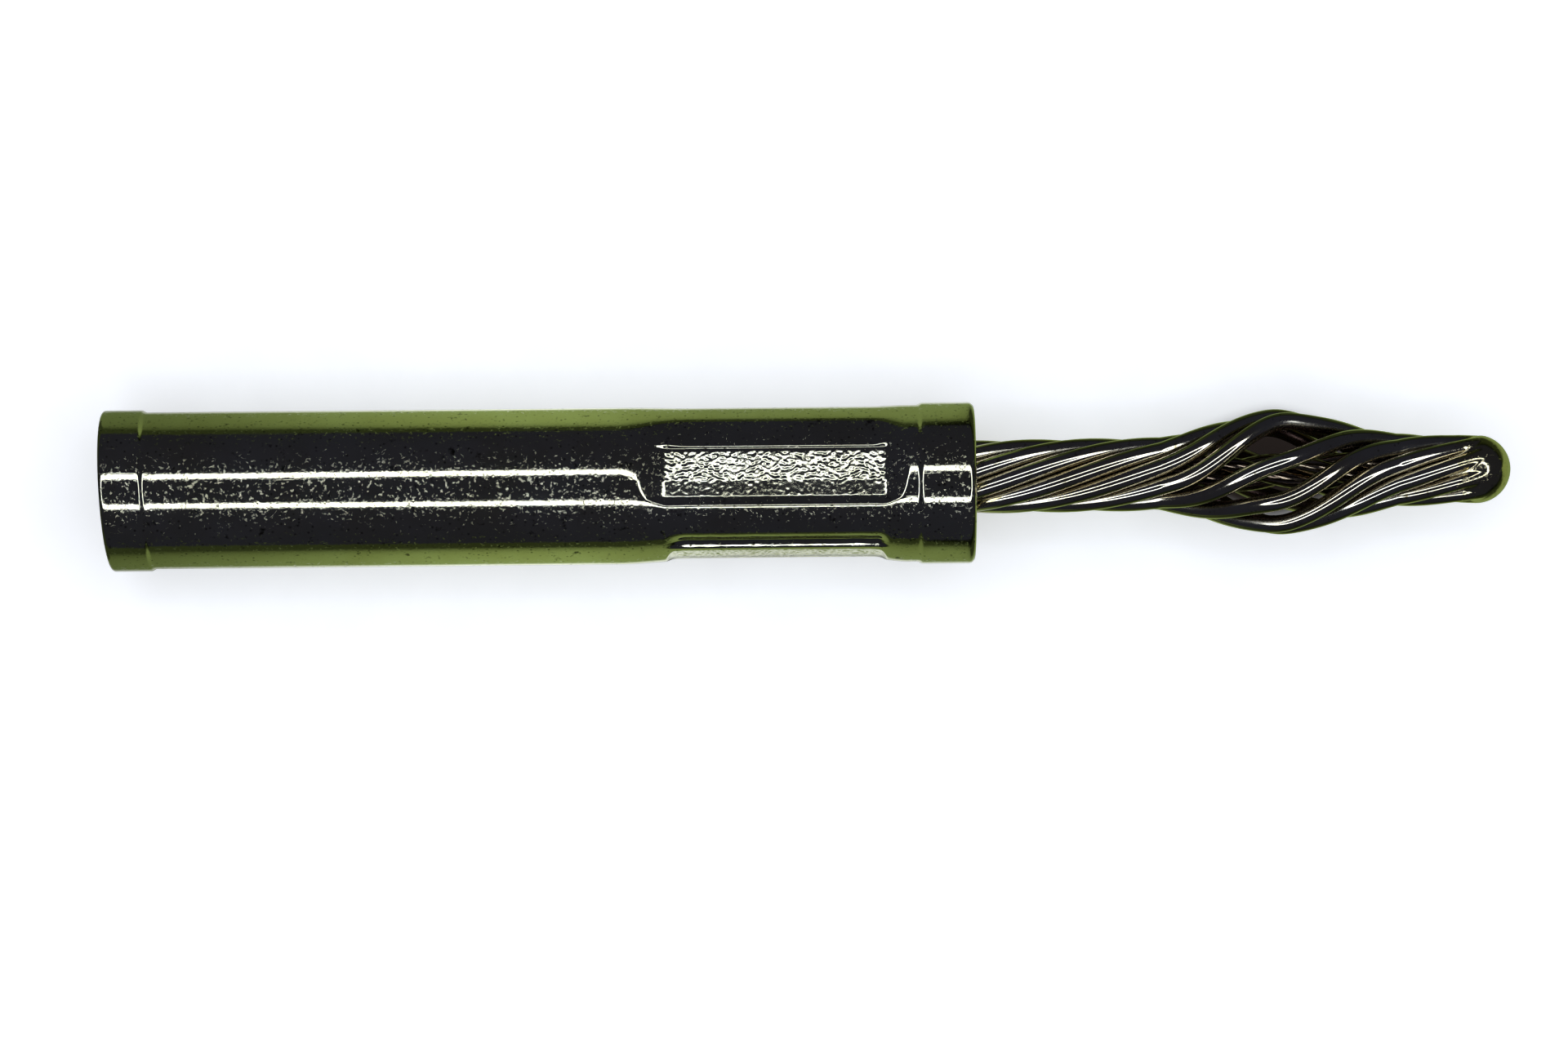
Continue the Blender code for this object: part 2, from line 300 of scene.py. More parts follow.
world = bpy.data.worlds.new("room")
bpy.context.scene.world = world
tree = bare_tree(world)
output = node(tree, "ShaderNodeOutputWorld")
rays = node(tree, "ShaderNodeLightPath")
sky = node(tree, "ShaderNodeBackground")
link(tree, mix_of(tree, rays.outputs["Is Camera Ray"], ROOM_SEEN, ROOM_PALE), sky.inputs["Color"])
link(tree, sky.outputs["Background"], output.inputs["Surface"])
print("room:", len(tree.nodes), "nodes")

# %% Ring light and fill
RING_HEIGHT = 60
RING_INNER_ANGLE = 19.4
RING_OUTER_ANGLE = 25.4
RING_SHIFT = -2
RING_STRETCH = 1.5
RING_STRENGTH = 3.2
RING_COLOUR = (0.9, 1, 1.24, 1)
RING_STEPS = 96
FILL_STRENGTH = 1.6
FILL_SPREAD = 120
FILL_HEIGHT = 100

inner = RING_HEIGHT * math.tan(math.radians(RING_INNER_ANGLE))
outer = RING_HEIGHT * math.tan(math.radians(RING_OUTER_ANGLE))
ring_points = []
ring_faces = []
for step in range(RING_STEPS):
    turn = math.tau * step / RING_STEPS
    for radius in (inner, outer):
        ring_points.append((radius * math.cos(turn) * RING_STRETCH * MM, radius * math.sin(turn) * MM, 0))
    a, b = 2 * step, 2 * ((step + 1) % RING_STEPS)
    ring_faces.append((a, b, b + 1, a + 1))
ring_mesh = bpy.data.meshes.new("ring_light")
ring_mesh.from_pydata(ring_points, [], ring_faces)
ring = put("ring_light", ring_mesh)
ring.location = (VIEW_CENTRE[0] * MM, RING_SHIFT * MM, RING_HEIGHT * MM)
lamp = bpy.data.materials.new("ring_lamp")
tree = bare_tree(lamp)
output = node(tree, "ShaderNodeOutputMaterial")
glow = node(tree, "ShaderNodeEmission", Color=RING_COLOUR, Strength=RING_STRENGTH)
link(tree, glow.outputs["Emission"], output.inputs["Surface"])
ring_mesh.materials.append(lamp)

fill_data = bpy.data.lights.new("fill", "SUN")
fill_data.energy = FILL_STRENGTH
fill_data.angle = math.radians(FILL_SPREAD)
fill = put("fill", fill_data)
fill.visible_glossy = False
fill.location = (0, 0, FILL_HEIGHT * MM)
print(f"ring light {inner:.1f} to {outer:.1f} mm from the lens axis, {RING_HEIGHT} mm up")

# %% [markdown]
# ## One plated surface, shared by every piece
# Gold plating over a turned or drawn surface is bright but not clean: it has pits, raised specks, a fine grain,
# hairlines along the part and slow changes of tone. They sit in one shader group that gives a tone, a stain, a
# roughness and a height, so that sleeve, wires and tip look plated in the same bath.

# %% Plated surface textures
CLOUD_SCALE = 2.4
GRAIN_SCALE = 48
SMEAR_SCALE = 13
SPECK_SCALE = 42
PIT_SCALE = 38
HAIRLINE_STRETCH = (1.6, 85, 85)

plated = bpy.data.node_groups.new("plated_surface", "ShaderNodeTree")
plated.interface.new_socket("Grain", in_out="INPUT", socket_type="NodeSocketFloat")
for name in ("Tone", "Stain", "Roughness", "Height"):
    plated.interface.new_socket(name, in_out="OUTPUT", socket_type="NodeSocketFloat")
tree = plated
entry = node(tree, "NodeGroupInput")
leave = node(tree, "NodeGroupOutput")
plated_place = millimetres(tree)
cloud = node(tree, "ShaderNodeTexNoise", Scale=CLOUD_SCALE, Detail=3, Roughness=0.6)
grain = node(tree, "ShaderNodeTexNoise", Scale=GRAIN_SCALE, Detail=3, Roughness=0.62)
smears = node(tree, "ShaderNodeTexNoise", Scale=SMEAR_SCALE, Detail=5, Roughness=0.7)
specks = node(tree, "ShaderNodeTexNoise", Scale=SPECK_SCALE, Detail=5, Roughness=0.68)
pits = node(tree, "ShaderNodeTexVoronoi", Scale=PIT_SCALE)
stretch = node(tree, "ShaderNodeMapping", Scale=HAIRLINE_STRETCH)
hairs = node(tree, "ShaderNodeTexNoise", Scale=1, Detail=2, Roughness=0.5)
pit_cell = node(tree, "ShaderNodeSeparateColor")
for texture in (cloud, grain, smears, specks, pits, stretch):
    link(tree, plated_place, texture.inputs["Vector"])
link(tree, stretch.outputs["Vector"], hairs.inputs["Vector"])
link(tree, pits.outputs["Color"], pit_cell.inputs["Color"])
print("textures:", len(tree.nodes), "nodes")

# %% Relief and stains
CLOUD_SPAN = (0.3, 0.7)
GRAIN_SPAN = (0.35, 0.7)
SMEAR_PICK = (0.6, 0.72)
SPECK_PICK = (0.585, 0.72)
PIT_EDGE = (0.04, 0.4)
PIT_PICK = (0.66, 0.98)
HAIR_PICK = (0.64, 0.76)
SPECK_RISE = 0.9
PIT_DEPTH = 0.5
PIT_STAIN = 0.8
HAIR_DEPTH = 0.12

pit_hollow = fade(tree, pits.outputs["Distance"], *PIT_EDGE, 1, 0)
pit = product(tree, pit_hollow, fade(tree, pit_cell.outputs["Red"], *PIT_PICK, 0, 1))
hair = fade(tree, hairs.outputs["Fac"], *HAIR_PICK, 0, 1)
speck = fade(tree, specks.outputs["Fac"], *SPECK_PICK, 0, 1)
smear = fade(tree, smears.outputs["Fac"], *SMEAR_PICK, 0, 1)
relief = product(tree, grain.outputs["Fac"], entry.outputs["Grain"])
relief = math_of(tree, "SUBTRACT", relief, product(tree, pit, PIT_DEPTH))
relief = math_of(tree, "ADD", relief, product(tree, speck, SPECK_RISE))
relief = math_of(tree, "SUBTRACT", relief, product(tree, hair, HAIR_DEPTH))
link(tree, relief, leave.inputs["Height"])
link(tree, math_of(tree, "MAXIMUM", smear, product(tree, pit, PIT_STAIN)), leave.inputs["Stain"])
link(tree, fade(tree, cloud.outputs["Fac"], *CLOUD_SPAN, 0, 1), leave.inputs["Tone"])
link(tree, fade(tree, grain.outputs["Fac"], *GRAIN_SPAN, 0, 1), leave.inputs["Roughness"])
print("plated surface group:", len(plated.nodes), "nodes")

# %% [markdown]
# ## The four metals
# Each material sets its own gold, polish and depth of relief. Two things come from the mesh. A punch leaves its
# mark rougher than the turned skin. And the wires' sides that face each other are duller, and further in they
# are painted dark brown as shade between the wires: so the grooves go dark and the bulge is brown within.


# %% One plated metal
def plated_metal(name, light, dark, stain, polish, height, grain, punched=0, inner=None):
    """A metal whose tone, roughness and relief come from the plated surface group; height is in millimetres.
    Where the mesh says that a punch struck it, the roughness rises by punched. With a colour for inner, the
    sides that face into the bundle are painted that colour as shade, and the grooves are duller."""
    material = bpy.data.materials.new(name)
    material.use_nodes = True
    tree = material.node_tree
    metal = tree.nodes["Principled BSDF"]
    metal.inputs["Metallic"].default_value = 1
    face = node(tree, "ShaderNodeGroup", node_tree=plated)
    face.inputs["Grain"].default_value = grain
    colour = mix_of(tree, face.outputs["Tone"], dark, light)
    colour = mix_of(tree, face.outputs["Stain"], colour, stain)
    roughness = fade(tree, face.outputs["Roughness"], 0, 1, *polish)
    if punched:
        struck = node(tree, "ShaderNodeAttribute", attribute_name="punched")
        roughness = math_of(tree, "ADD", roughness, product(tree, struck.outputs["Fac"], punched))
    # inner paints the sides that face into the bundle that colour: painted shade between the wires.
    if inner:
        painted_inner_shade = node(tree, "ShaderNodeAttribute", attribute_name="painted_inner_shade")
        groove = node(tree, "ShaderNodeAttribute", attribute_name="groove")
        colour = mix_of(tree, painted_inner_shade.outputs["Fac"], colour, inner)
        roughness = math_of(tree, "ADD", roughness, product(tree, groove.outputs["Fac"], GROOVE_DULL))
    link(tree, colour, metal.inputs["Base Color"])
    link(tree, roughness, metal.inputs["Roughness"])
    bump = node(tree, "ShaderNodeBump", Strength=1, Distance=height * MM)
    link(tree, face.outputs["Height"], bump.inputs["Height"])
    link(tree, bump.outputs["Normal"], metal.inputs["Normal"])
    return material


print("a plated metal has its own gold, polish and relief")

# %% Gold and copper
DIRT = (0.3, 0.25, 0.13)
SLEEVE_DIRT = (0.11, 0.095, 0.05)
CORE_DIRT = (0.06, 0.04, 0.03)
GROOVE_DULL = 0.2
sleeve_gold = plated_metal(
    "sleeve_gold",
    light=(0.86, 0.81, 0.56),
    dark=(0.76, 0.7, 0.44),
    stain=SLEEVE_DIRT,
    polish=(0.04, 0.09),
    height=0.0007,
    grain=0.5,
    punched=0.05,
)
strand_gold = plated_metal(
    "strand_gold",
    light=(0.86, 0.79, 0.58),
    dark=(0.76, 0.66, 0.43),
    stain=DIRT,
    polish=(0.07, 0.11),
    height=0.00004,
    grain=0.5,
    # painted shade: the sides facing into the bundle turn dark brown
    inner=(0.1, 0.06, 0.045),
)
tip_gold = plated_metal(
    "tip_gold",
    light=(0.84, 0.76, 0.48),
    dark=(0.72, 0.62, 0.34),
    stain=DIRT,
    polish=(0.06, 0.13),
    height=0.0008,
    grain=0.9,
)
core_metal = plated_metal(
    "core_copper",
    light=(0.6, 0.48, 0.3),
    dark=(0.2, 0.13, 0.085),
    stain=CORE_DIRT,
    polish=(0.1, 0.22),
    height=0.0003,
    grain=0.6,
)
print("metals:", [m.name for m in (sleeve_gold, strand_gold, tip_gold, core_metal)])

# %% [markdown]
# ## Closed skins from rings
# Every piece here is long and round, so each is a stack of rings of points, joined to their neighbours. A loop
# of rings closes on itself like the sleeve's wall; a run of rings gets a cap at each end like a cut wire.


# %% Skin helpers
def toward(degrees):
    """The direction at an angle round X, from +Z to +Y."""
    angle = np.radians(np.asarray(degrees, float))
    return np.stack([np.zeros_like(angle), np.sin(angle), np.cos(angle)], axis=-1)


def smoothstep(value, start, end):
    share = np.clip((np.asarray(value, float) - start) / (end - start), 0, 1)
    return share * share * (3 - 2 * share)


def run(start, end, step):
    """Even stations from start to end, about a step apart."""
    return np.linspace(start, end, max(2, int(round(abs(end - start) / step)) + 1))


def skin(name, rings, material, loop=False):
    """A closed, smooth mesh object from rings of points in millimetres."""
    count, sides, _ = rings.shape
    index = np.arange(count * sides).reshape(count, sides)
    near = index if loop else index[:-1]
    far = np.roll(index, -1, axis=0) if loop else index[1:]
    quads = np.stack([near, np.roll(near, -1, axis=1), np.roll(far, -1, axis=1), far], axis=-1)
    faces = quads.reshape(-1, 4).tolist()
    if not loop:
        faces += [index[0].tolist(), index[-1].tolist()]
    mesh = bpy.data.meshes.new(name)
    mesh.from_pydata((rings.reshape(-1, 3) * MM).tolist(), [], faces)
    shell = bmesh.new()
    shell.from_mesh(mesh)
    bmesh.ops.recalc_face_normals(shell, faces=shell.faces)
    for face in shell.faces:
        face.smooth = len(face.verts) == 4
    shell.to_mesh(mesh)
    shell.free()
    mesh.materials.append(material)
    return put(name, mesh)


def mark(made, name, values):
    """Give every point of a skin a number that its material can read."""
    marks = made.data.attributes.new(name, "FLOAT", "POINT")
    marks.data.foreach_set("value", np.asarray(values, np.float32).ravel())


print("skin helpers ready")

# %% [markdown]
# ## The wires' paths
# The outer strands lie side by side round the core, bow out over the bulge and are drawn in to the weld. Where
# they bow out they also slip a little round the axis, each by its own amount, which is why the gaps in the
# photograph's bulge are uneven. The core turns the other way. These are the measured paths of the frame.

# %% Wire sizes
STRAND_COUNT = 9
STRAND_D = 0.106
LAY_LENGTH = 3.26
FIRST_STRAND_ANGLE = -29
CORE_COUNT = 3
CORE_WIRE_D = 0.1
CORE_LAY_LENGTH = 1.28
WIRE_GAP = 0.003
SEAT_GAP = 0.004
BUNDLE_TAIL = 0.12
PIN_OFFSET = 0.034
PIN_LEAN = 0.35
OFFSET_ANGLE = 98
BULGE_OD = 0.765
BULGE_CENTRE_FROM_FRONT = 1.826
BULGE_HALF_LENGTH = 0.71
BULGE_CROWN = 0.1
BULGE_FLANK_POWER = 1.15
TWIST_SLACK = 12
STRAND_DRIFT = (3, -6, 6, 13, -2, -4, -2, 4, -5)
TIP_D = 0.41

BULGE_CENTRE = SLEEVE_LENGTH + BULGE_CENTRE_FROM_FRONT
BULGE_FRONT = BULGE_CENTRE + BULGE_HALF_LENGTH


def ring_radius(count, diameter, lay_length):
    """The radius at which slanting wires just fit side by side; each pass settles it further."""
    radius = 0
    for _ in range(12):
        width = diameter * math.hypot(1, math.tau * radius / lay_length) + WIRE_GAP
        radius = width / (2 * math.sin(math.pi / count))
    return radius


CORE_RADIUS = ring_radius(CORE_COUNT, CORE_WIRE_D, CORE_LAY_LENGTH)
OVER_CORE = CORE_RADIUS + CORE_WIRE_D / 2 + WIRE_GAP + STRAND_D / 2
LAY_RADIUS = max(ring_radius(STRAND_COUNT, STRAND_D, LAY_LENGTH), OVER_CORE)
BUNDLE_OD = 2 * LAY_RADIUS + STRAND_D
BULGE_LAY_RADIUS = (BULGE_OD - STRAND_D) / 2
print(f"bundle {BUNDLE_OD:.3f} mm across, lay radius {LAY_RADIUS:.3f} mm")


# %% Wire paths
def pin_axis(x):
    rise = PIN_OFFSET + np.maximum(x - SLEEVE_LENGTH, 0) * math.tan(math.radians(PIN_LEAN))
    points = rise[..., None] * toward(OFFSET_ANGLE)
    points[..., 0] += x
    return points


def bulge_share(x):
    reach = np.hypot(np.minimum(np.abs(x - BULGE_CENTRE), BULGE_HALF_LENGTH), BULGE_CROWN)
    full = math.hypot(BULGE_HALF_LENGTH, BULGE_CROWN) - BULGE_CROWN
    return (1 - (reach - BULGE_CROWN) / full) ** BULGE_FLANK_POWER


def drawn_in(x):
    return 1 - (1 - TIP_D / BUNDLE_OD) * smoothstep(x, BULGE_FRONT, WELD_FACE)


def twist(x):
    sway = np.pi * np.clip((x - BULGE_CENTRE) / BULGE_HALF_LENGTH, -1, 1)
    return 360 * (x - SLEEVE_LENGTH) / LAY_LENGTH - TWIST_SLACK * np.sin(sway) * (1 + np.cos(sway)) / 2


def strand_angle(number, x):
    drift = STRAND_DRIFT[number] * bulge_share(x) ** 2
    return FIRST_STRAND_ANGLE - 360 * number / STRAND_COUNT + twist(x) + drift


def tube(centres, axis_points, radii, sides):
    """Rings of a round wire along its centres; each ring starts on the side away from the bundle's axis."""
    along = np.gradient(centres, axis=0)
    along /= np.linalg.norm(along, axis=1, keepdims=True)
    out = centres - axis_points
    out -= np.sum(out * along, axis=1, keepdims=True) * along
    out /= np.linalg.norm(out, axis=1, keepdims=True)
    side = np.cross(along, out)
    turn = np.linspace(0, math.tau, sides, endpoint=False)[None, :, None]
    offsets = out[:, None, :] * np.cos(turn) + side[:, None, :] * np.sin(turn)
    return centres[:, None, :] + offsets * np.asarray(radii)[:, None, None]


print(f"bulge from {BULGE_CENTRE - BULGE_HALF_LENGTH:.3f} to {BULGE_FRONT:.3f} mm")

# %% [markdown]
# ## The turned sleeve
# Before it is crimped, the sleeve is a turned tube: a low collar at each end, a wire bore behind and a pin bore
# in front. Its profile is one closed run of stations, up the rear face, along the outside, down the front face
# and back through the bores. Stations lie close together at the collars' steps and where the dents will come.

# %% Sleeve sizes
BARREL_OD = 0.94
COLLAR_OD = 0.966
REAR_COLLAR_LENGTH = 0.235
FRONT_COLLAR_LENGTH = 0.31
REAR_COLLAR_SLOPE = 0.034
FRONT_COLLAR_SLOPE = 0.04
REAR_EDGE_ROUND = 0.024
FRONT_EDGE_ROUND = 0.04
WIRE_BORE_D = 0.66
WIRE_BORE_DEPTH = 2.6
PIN_BORE_D = 0.536
DRILL_HALF_ANGLE = 59
BORE_MOUTH_CHAMFER = 0.015
CRIMP_LENGTH = 1.41
CRIMP_TO_FRONT = 0.51
DENT_MARGIN = (0.1, 0.14)
SLOPE_STEP = 0.003
DENT_STEP = 0.0065
COLLAR_STEP = 0.015
FACE_STEP = 0.02
BARREL_STEP = 0.03
PIN_BORE_STEP = 0.04
WIRE_BORE_STEP = 0.1

drill_cone = (WIRE_BORE_D - PIN_BORE_D) / 2 / math.tan(math.radians(DRILL_HALF_ANGLE))
crimp_front = SLEEVE_LENGTH - CRIMP_TO_FRONT
crimp_rear = crimp_front - CRIMP_LENGTH
dents_from = crimp_rear - DENT_MARGIN[0]
dents_to = crimp_front + DENT_MARGIN[1]
rear_step = REAR_COLLAR_LENGTH + REAR_COLLAR_SLOPE
front_collar = SLEEVE_LENGTH - FRONT_COLLAR_LENGTH
front_step = front_collar - FRONT_COLLAR_SLOPE
front_edge = SLEEVE_LENGTH - FRONT_EDGE_ROUND
rear_round_r = COLLAR_OD / 2 - REAR_EDGE_ROUND
front_round_r = COLLAR_OD / 2 - FRONT_EDGE_ROUND
print(f"barrel from {rear_step:.3f} to {front_step:.3f} mm")


# %% Sleeve profile
def corner(centre_x, centre_r, radius, start, end, count):
    turn = np.radians(np.linspace(start, end, count))
    return centre_x + radius * np.cos(turn), centre_r + radius * np.sin(turn)


def outside(x):
    rear = 1 - smoothstep(x, REAR_COLLAR_LENGTH, rear_step)
    front = smoothstep(x, front_step, front_collar)
    return (BARREL_OD + (COLLAR_OD - BARREL_OD) * (rear + front)) / 2


path_x, path_r, path_side = [], [], []


def lay(xs, radii, side=0):
    """Add stations; the side is 1 where the dents sink the outside and -1 where they raise the bore."""
    path_x.extend(np.broadcast_to(xs, np.shape(radii)))
    path_r.extend(radii)
    path_side.extend([side] * len(radii))


lay(0, run(WIRE_BORE_D / 2 + BORE_MOUTH_CHAMFER, rear_round_r, FACE_STEP)[:-1])
lay(*corner(REAR_EDGE_ROUND, rear_round_r, REAR_EDGE_ROUND, 180, 90, 9))
wall_x = np.concatenate([
    run(REAR_EDGE_ROUND, REAR_COLLAR_LENGTH, COLLAR_STEP)[1:-1],
    run(REAR_COLLAR_LENGTH, rear_step, SLOPE_STEP)[:-1],
    run(rear_step, dents_from, BARREL_STEP)[:-1],
    run(dents_from, dents_to, DENT_STEP)[:-1],
    run(dents_to, front_step, COLLAR_STEP)[:-1],
    run(front_step, front_collar, SLOPE_STEP)[:-1],
    run(front_collar, front_edge, COLLAR_STEP)[:-1],
])
lay(wall_x, outside(wall_x), 1)
lay(*corner(front_edge, front_round_r, FRONT_EDGE_ROUND, 90, 0, 11))
lay(SLEEVE_LENGTH, run(front_round_r, PIN_BORE_D / 2 + BORE_MOUTH_CHAMFER, FACE_STEP)[1:])
bore_x = run(SLEEVE_LENGTH - BORE_MOUTH_CHAMFER, WIRE_BORE_DEPTH + drill_cone, PIN_BORE_STEP)
lay(bore_x, np.full(len(bore_x), PIN_BORE_D / 2), -1)
bore_x = run(WIRE_BORE_DEPTH, BORE_MOUTH_CHAMFER, WIRE_BORE_STEP)
lay(bore_x, np.full(len(bore_x), WIRE_BORE_D / 2))
path_x, path_r, path_side = map(np.array, (path_x, path_r, path_side))
print(f"sleeve profile of {len(path_x)} stations")

# %% [markdown]
# ## The punches
# Four flat-nosed punches close the sleeve on the bundle. Each leaves a floor with sloped ends and the punch's
# hammered texture, and the floor isn't flat after the punch lets go: it springs back into a shallow profile,
# given here as heights from one rim to the other. The dents are numbered from the one that faces the camera,
# then top, back and bottom in the photograph, and the two hidden ones follow from the two that show.

# %% Dent shapes
CRIMP_COUNT = 4
CRIMP_FIRST_ANGLE = 8
DENT_DEPTH = (0.043, 0.014, 0.043, 0.05)
FLOOR_REAR = (0.074, 0.1, 0.074, 0.1)
FLOOR_FRONT = (0.03, 0.05, 0.03, 0.05)
REAR_RAMP_SLOPE = (0.37, 0.37, 0.37, 1.1)
FRONT_RAMP_SLOPE = (0.5, 0.5, 0.5, 1.1)
RAMP_ROLL = 0.02
FLOOR_STATIONS = (-1, -0.7, -0.17, 0.83, 0.93, 1)
SPRUNG_FLOOR = (-0.004, -0.03, -0.025, -0.037, -0.046, -0.0408)
SHALLOW_FLOOR = (0, 0, 0, 0, 0, 0)
LOWER_FLOOR = (0, -0.003, 0, -0.003, -0.003, 0)
FLOOR_HEIGHTS = (SPRUNG_FLOOR, SHALLOW_FLOOR, SPRUNG_FLOOR, LOWER_FLOOR)
FLOOR_BLEND = 0.07
FLOOR_SPAN = 1.5
FLOOR_SAMPLES = 200
HAMMER_WAVES = 70
HAMMER_FINE = 0.024
HAMMER_COARSE = 0.052

hammer = np.random.RandomState(11)
wave_length = hammer.uniform(HAMMER_FINE, HAMMER_COARSE, HAMMER_WAVES)
wave_turn = hammer.uniform(0, math.pi, HAMMER_WAVES)
wave_start = hammer.uniform(0, math.tau, HAMMER_WAVES)


def hammered(along, over):
    """The punch's texture: many short waves that cross at all angles."""
    total = np.zeros(np.broadcast_shapes(along.shape, over.shape))
    for length, turn, start in zip(wave_length, wave_turn, wave_start):
        total += np.sin(math.tau * (along * math.cos(turn) + over * math.sin(turn)) / length + start)
    return total / math.sqrt(HAMMER_WAVES / 2)


def soft_max(first, second, roll):
    return (first + second + np.hypot(first - second, roll)) / 2


def ramps(number, x):
    """How far the punch's sloped ends stand above its floor."""
    behind = soft_max(crimp_rear + FLOOR_REAR[number] - x, 0, RAMP_ROLL)
    ahead = soft_max(x - crimp_front + FLOOR_FRONT[number], 0, RAMP_ROLL)
    return REAR_RAMP_SLOPE[number] * behind + FRONT_RAMP_SLOPE[number] * ahead


def floor_height(number, share):
    """The sprung floor across a dent, from one rim at -1 to the other at 1."""
    fine = np.linspace(-FLOOR_SPAN, FLOOR_SPAN, int(2 * FLOOR_SPAN * FLOOR_SAMPLES) + 1)
    height = np.interp(fine, FLOOR_STATIONS, FLOOR_HEIGHTS[number])
    window = np.hanning(int(FLOOR_BLEND * FLOOR_SAMPLES) + 3)
    return np.interp(share, fine, np.convolve(height, window / window.sum(), mode="same"))


print(f"dents from {crimp_rear:.3f} to {crimp_front:.3f} mm")

# %% [markdown]
# ## What the blows do round the dents
# The wall sinks softly round each dent, because it is drawn in with the floor. The flank above the front dent
# is flatter than a turned bar. Beside the lower dent the metal has risen into an uneven lip with a trough
# behind it: its top faces the lens and makes the white line there, and the trough's sides make the black stripe
# and the olive rim.

# %% Drawn-in wall and lip
AROUND = 480
SHOULDER_SINK = 0.4
SHOULDER_SPREAD = 38
SHOULDER_REAR = (-0.22, 0.22)
SHOULDER_FRONT = (-0.11, 0.11)
FLANK_SINK = 0.034
FLANK_ANGLES = (-8, 14, 34, 64)
TROUGH_DEPTH = (0, 0, 0, 0.027)
TROUGH_WIDTH = 0.052
TROUGH_REAR = (0.05, 0.19)
TROUGH_FRONT = (-0.08, 0)
LIP_REACH = (0, 0.02, 0.048)
LIP_SHARE = (0, 0.7, 1)
LIP_WAVE = 0.025
LIP_WAVE_STRETCH = 4

start = BARREL_OD / 2
degrees = np.linspace(0, 360, AROUND, endpoint=False)[None, :]
x_grid = path_x[:, None]


def dent_angle(number):
    return CRIMP_FIRST_ANGLE + 360 * number / CRIMP_COUNT


def swing_from(number):
    """The turn round the axis from the middle of a dent, in radians."""
    return np.radians((degrees - dent_angle(number) + 180) % 360 - 180)


def between(rear, front):
    """A share that rises at the dents' rear end and falls at their front end. Both stretches count from it."""
    rise = smoothstep(x_grid, crimp_rear + rear[0], crimp_rear + rear[1])
    return rise * (1 - smoothstep(x_grid, crimp_front + front[0], crimp_front + front[1]))


drawn = between(SHOULDER_REAR, SHOULDER_FRONT)
pressed = between(TROUGH_REAR, TROUGH_FRONT)
uneven = 1 + LIP_WAVE * hammered(x_grid / LIP_WAVE_STRETCH, np.zeros(1))
turned = (degrees + 180) % 360 - 180
flank = smoothstep(turned, *FLANK_ANGLES[:2]) * (1 - smoothstep(turned, *FLANK_ANGLES[2:]))
outer_cut = FLANK_SINK * flank * drawn
for number, depth in enumerate(DENT_DEPTH):
    swing = swing_from(number)
    from_rim = (np.abs(swing) - math.acos(1 - depth / start)) * start
    lip = np.interp(from_rim, LIP_REACH, LIP_SHARE) * uneven
    past_lip = np.maximum(from_rim - LIP_REACH[-1], 0) / TROUGH_WIDTH
    trough = TROUGH_DEPTH[number] * lip * np.exp(-(past_lip**2))
    shoulder = depth * SHOULDER_SINK * np.exp(-((np.degrees(swing) / SHOULDER_SPREAD) ** 2))
    outer_cut = outer_cut + shoulder * drawn + trough * pressed
print(f"wall drawn in by up to {outer_cut.max():.3f} mm before the dents")

# %% [markdown]
# ## Striking the dents
# Each floor now cuts into the wall, and the rims between them roll over softly. Inside, every punch raises a
# land in the pin bore until it meets the bundle, which lies a little off the sleeve's axis. The rear end of the
# sleeve is cut at a slight slant, as the photograph shows.

# %% Sleeve dents and skin
RIM_ROLL = 0.004
LAND_ROLL = 0.002
FACING_LIMIT = 60
STRUCK_FROM_RIM = (0.02, 0.05)
STRUCK_RAMP = (0, 0.012)
HAMMER_HEIGHT = 0.0006
HAMMER_FADE = (-0.35, -0.05)
HAMMER_LEAST = 0.45
REAR_SLANT = 3
SLANT_FADE = (0.25, 1.2)

on_outside = path_side[:, None] == 1
in_bore = path_side[:, None] == -1
radius = np.repeat(path_r[:, None], AROUND, axis=1)
punched = np.zeros_like(radius)
inner_cut = np.zeros_like(radius)
for number, depth in enumerate(DENT_DEPTH):
    swing = swing_from(number)
    facing = np.abs(swing) < math.radians(FACING_LIMIT)
    swing = np.where(facing, swing, 0)
    ramp = ramps(number, x_grid)
    flat = start - depth
    over = flat * np.tan(swing)
    half_chord = math.sqrt(start**2 - flat**2)
    struck = facing * smoothstep(half_chord - np.abs(over), *STRUCK_FROM_RIM)
    struck = struck * (1 - smoothstep(ramp, *STRUCK_RAMP))
    floor_r = flat + ramp + floor_height(number, over / half_chord)
    strength = HAMMER_LEAST + (1 - HAMMER_LEAST) * smoothstep(over / half_chord, *HAMMER_FADE)
    floor_r = floor_r - HAMMER_HEIGHT * strength * hammered(x_grid, over) * struck
    outer_cut = soft_max(outer_cut, np.where(facing, start - floor_r / np.cos(swing), -1), RIM_ROLL)
    punched += struck * on_outside
    off_axis = PIN_OFFSET * math.cos(math.radians(dent_angle(number) - OFFSET_ANGLE))
    land = BUNDLE_OD / 2 + off_axis + SEAT_GAP
    land_cut = PIN_BORE_D / 2 - (land + ramp) / np.cos(swing)
    inner_cut = soft_max(inner_cut, np.where(facing, land_cut, -1), LAND_ROLL)
radius -= outer_cut * on_outside + inner_cut * in_bore

rings = radius[..., None] * toward(degrees)
slant = math.tan(math.radians(REAR_SLANT))
slanted = 1 - smoothstep(path_x, *SLANT_FADE)
rings[..., 0] = x_grid - rings[..., 1] * slant * slanted[:, None]
sleeve = skin("crimped_sleeve", rings, sleeve_gold, loop=True)
mark(sleeve, "punched", punched)
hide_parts("crimp_sleeve")
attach(sleeve, "sleeve_and_core")
print(f"sleeve skin of {len(sleeve.data.vertices)} points")

